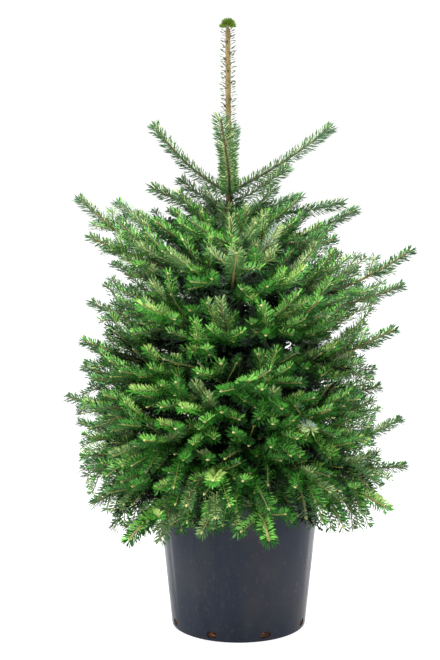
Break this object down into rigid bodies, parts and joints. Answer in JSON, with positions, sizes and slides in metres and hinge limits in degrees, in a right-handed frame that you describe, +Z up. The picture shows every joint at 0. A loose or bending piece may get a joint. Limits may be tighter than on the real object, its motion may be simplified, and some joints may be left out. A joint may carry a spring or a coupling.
{
  "type": "potted korean fir",
  "caption": "Young evergreen fir in a round nursery pot: straight trunk with a long leader and dense whorls of needled boughs that droop over the rim.",
  "frame": {"origin": "centre of the pot's flat underside", "axes": "+Z up along the trunk, -Y towards the side shown as the front, +X to that side's right"},
  "size_m": [0.744, 0.6898, 1.3],
  "materials": {
    "pot": "satin",
    "soil": "rough",
    "bark": "rough",
    "needles": "matte"
  },
  "bodies": {
    "root": {"pot": "pot", "soil": "soil", "trunk": "bark", "leader_needles": "needles", "bough_1_1": "bark", "foliage_1_1": "needles", "bough_1_2": "bark", "foliage_1_2": "needles", "bough_1_3": "bark", "foliage_1_3": "needles", "bough_1_4": "bark", "foliage_1_4": "needles", "bough_1_5": "bark", "foliage_1_5": "needles", "bough_1_6": "bark", "foliage_1_6": "needles", "bough_1_7": "bark", "foliage_1_7": "needles", "foliage_2_1": "needles", "foliage_2_2": "needles", "bough_3_1": "bark", "foliage_3_1": "needles", "bough_3_2": "bark", "foliage_3_2": "needles", "bough_3_3": "bark", "foliage_3_3": "needles", "bough_3_4": "bark", "foliage_3_4": "needles", "bough_3_5": "bark", "foliage_3_5": "needles", "foliage_4_1": "needles", "foliage_4_2": "needles", "foliage_5_1": "needles", "foliage_5_2": "needles", "foliage_5_3": "needles", "foliage_5_4": "needles", "foliage_5_5": "needles", "foliage_6_1": "needles", "foliage_6_2": "needles", "foliage_6_3": "needles", "foliage_6_4": "needles", "foliage_6_5": "needles", "foliage_7_1": "needles", "foliage_7_2": "needles", "foliage_7_3": "needles", "foliage_7_4": "needles", "foliage_7_5": "needles", "foliage_8_1": "needles", "foliage_9_1": "needles", "foliage_9_2": "needles", "foliage_9_3": "needles", "foliage_9_4": "needles", "foliage_9_5": "needles", "foliage_10_1": "needles", "foliage_10_2": "needles", "foliage_10_3": "needles", "foliage_11_1": "needles", "foliage_11_2": "needles", "foliage_11_3": "needles", "foliage_11_4": "needles"}
  },
  "joints": []
}
